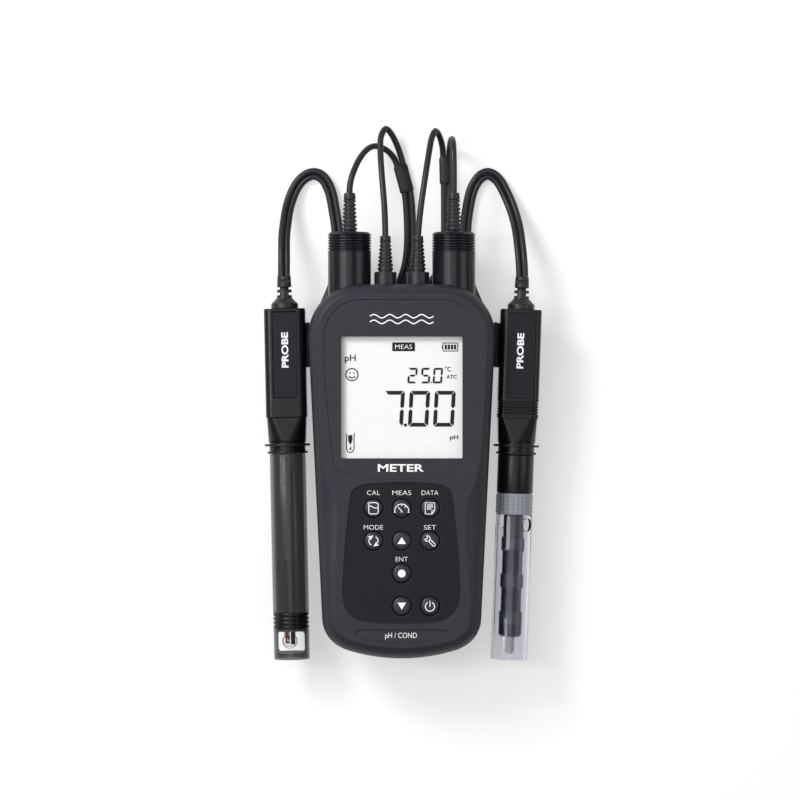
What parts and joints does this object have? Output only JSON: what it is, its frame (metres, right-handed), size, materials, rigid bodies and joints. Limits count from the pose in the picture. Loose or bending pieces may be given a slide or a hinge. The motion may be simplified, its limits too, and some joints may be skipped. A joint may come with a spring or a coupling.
{
  "type": "handheld water quality meter with probes",
  "caption": "Handheld water quality meter lying on its back, with a pH probe and a conductivity probe clipped to its sides and plugged in at its top by thin leads.",
  "frame": {"origin": "on the flat back that the meter rests on, in the middle of the meter", "axes": "+X to the meter's right as its display is read, +Y towards the connectors, +Z out of the display"},
  "size_m": [0.1196, 0.2313, 0.038],
  "materials": {
    "case": "fine texture",
    "gasket": "satin",
    "lens": "clear acrylic",
    "lcd": "pale grey display",
    "board": "solder mask",
    "silicone": "silicone",
    "key": "silicone",
    "cell_sleeve": "shrink sleeve",
    "spring_steel": "plated",
    "socket_metal": "nickel",
    "holder": "satin",
    "probe_black": "satin",
    "label": "film",
    "ring": "satin",
    "smoky_tube": "smoke tinted plastic",
    "stem_glass": "glass",
    "reference": "satin",
    "smoky_guard": "smoke tinted plastic",
    "cond_stem_grey": "satin",
    "tip": "ceramic",
    "clear_guard": "clear plastic",
    "relief": "satin",
    "boot": "satin",
    "lead": "satin jacket",
    "sleeve": "shrink sleeve"
  },
  "bodies": {
    "meter": {"front_case": "case", "rear_case": "case", "case_gasket": "gasket", "display_window": "lens", "lcd_panel": "lcd", "main_board": "board", "keypad_mat": "silicone", "aa_cells": "cell_sleeve", "battery_contacts": "spring_steel", "case_screws": "spring_steel", "kickstand_pin": "spring_steel", "signal_sockets": "socket_metal", "sensor_jacks": "socket_metal", "left_probe_holder": "holder", "right_probe_holder": "holder", "left_sensor_plug": "relief", "right_sensor_plug": "relief", "left_lead_run": "lead", "right_lead_run": "lead", "lead_coils": "lead", "split_sleeves": "sleeve", "left_lead_tails": "lead", "right_lead_tails": "lead"},
    "key_cal_body": {"key_cal": "key"},
    "key_meas_body": {"key_meas": "key"},
    "key_data_body": {"key_data": "key"},
    "key_mode_body": {"key_mode": "key"},
    "key_up_body": {"key_up": "key"},
    "key_set_body": {"key_set": "key"},
    "key_enter_body": {"key_enter": "key"},
    "key_down_body": {"key_down": "key"},
    "key_power_body": {"key_power": "key"},
    "door": {"battery_door": "case", "battery_door_screws": "spring_steel"},
    "stand": {"kickstand": "case"},
    "left_plug": {"left_signal_boot": "boot", "left_signal_plug": "relief"},
    "right_plug": {"right_signal_boot": "boot", "right_signal_plug": "relief"},
    "ph_probe": {"ph_probe_head": "probe_black", "ph_label_plate": "label", "ph_probe_body": "smoky_tube", "ph_stop_rings": "ring", "ph_inner_stem": "stem_glass", "ph_junction_plug": "probe_black", "ph_glass_bulb": "stem_glass", "ph_reference_element": "reference", "ph_temperature_sensor": "probe_black", "ph_strain_relief": "relief"},
    "ph_guard": {"ph_guard_cap": "smoky_guard"},
    "cond_probe": {"cond_probe_head": "probe_black", "cond_label_plate": "label", "cond_probe_body": "probe_black", "cond_stop_rings": "ring", "cond_stem": "cond_stem_grey", "cond_sensor_tip": "tip", "cond_strain_relief": "relief"},
    "cond_guard": {"cond_knurled_ring": "clear_guard", "cond_guard_tube": "clear_guard"}
  },
  "joints": [
    {"name": "key_cal_press", "type": "slide", "parent": "meter", "child": "key_cal_body", "axis": [0, 0, -1], "range_m": [0, 0.0007], "stiffness_N_per_m": 1500},
    {"name": "key_meas_press", "type": "slide", "parent": "meter", "child": "key_meas_body", "axis": [0, 0, -1], "range_m": [0, 0.0007], "stiffness_N_per_m": 1500},
    {"name": "key_data_press", "type": "slide", "parent": "meter", "child": "key_data_body", "axis": [0, 0, -1], "range_m": [0, 0.0007], "stiffness_N_per_m": 1500},
    {"name": "key_mode_press", "type": "slide", "parent": "meter", "child": "key_mode_body", "axis": [0, 0, -1], "range_m": [0, 0.0007], "stiffness_N_per_m": 1500},
    {"name": "key_up_press", "type": "slide", "parent": "meter", "child": "key_up_body", "axis": [0, 0, -1], "range_m": [0, 0.0007], "stiffness_N_per_m": 1500},
    {"name": "key_set_press", "type": "slide", "parent": "meter", "child": "key_set_body", "axis": [0, 0, -1], "range_m": [0, 0.0007], "stiffness_N_per_m": 1500},
    {"name": "key_enter_press", "type": "slide", "parent": "meter", "child": "key_enter_body", "axis": [0, 0, -1], "range_m": [0, 0.0007], "stiffness_N_per_m": 1500},
    {"name": "key_down_press", "type": "slide", "parent": "meter", "child": "key_down_body", "axis": [0, 0, -1], "range_m": [0, 0.0007], "stiffness_N_per_m": 1500},
    {"name": "key_power_press", "type": "slide", "parent": "meter", "child": "key_power_body", "axis": [0, 0, -1], "range_m": [0, 0.0007], "stiffness_N_per_m": 1500},
    {"name": "battery_door_lift", "type": "slide", "parent": "meter", "child": "door", "axis": [0, 0, -1], "range_m": [0, 0.025]},
    {"name": "kickstand_fold", "type": "hinge", "parent": "meter", "child": "stand", "pos_m": [0, 0.028, 0.0027], "axis": [1, 0, 0], "range_deg": [0, 60]},
    {"name": "left_plug_twist", "type": "hinge", "parent": "meter", "child": "left_plug", "pos_m": [-0.0224, 0.09, 0.022], "axis": [0, 1, 0], "range_deg": [0, 90]},
    {"name": "right_plug_twist", "type": "hinge", "parent": "meter", "child": "right_plug", "pos_m": [0.0224, 0.09, 0.022], "axis": [0, 1, 0], "range_deg": [0, 90]},
    {"name": "ph_probe_unclip", "type": "slide", "parent": "meter", "child": "ph_probe", "axis": [0, 0, 1], "range_m": [0, 0.03]},
    {"name": "cond_probe_unclip", "type": "slide", "parent": "meter", "child": "cond_probe", "axis": [0, 0, 1], "range_m": [0, 0.03]},
    {"name": "ph_guard_pull", "type": "slide", "parent": "ph_probe", "child": "ph_guard", "axis": [0.0209, -0.9998, 0], "range_m": [0, 0.03]},
    {"name": "cond_guard_pull", "type": "slide", "parent": "cond_probe", "child": "cond_guard", "axis": [-0.0349, -0.9994, 0], "range_m": [0, 0.08]}
  ]
}
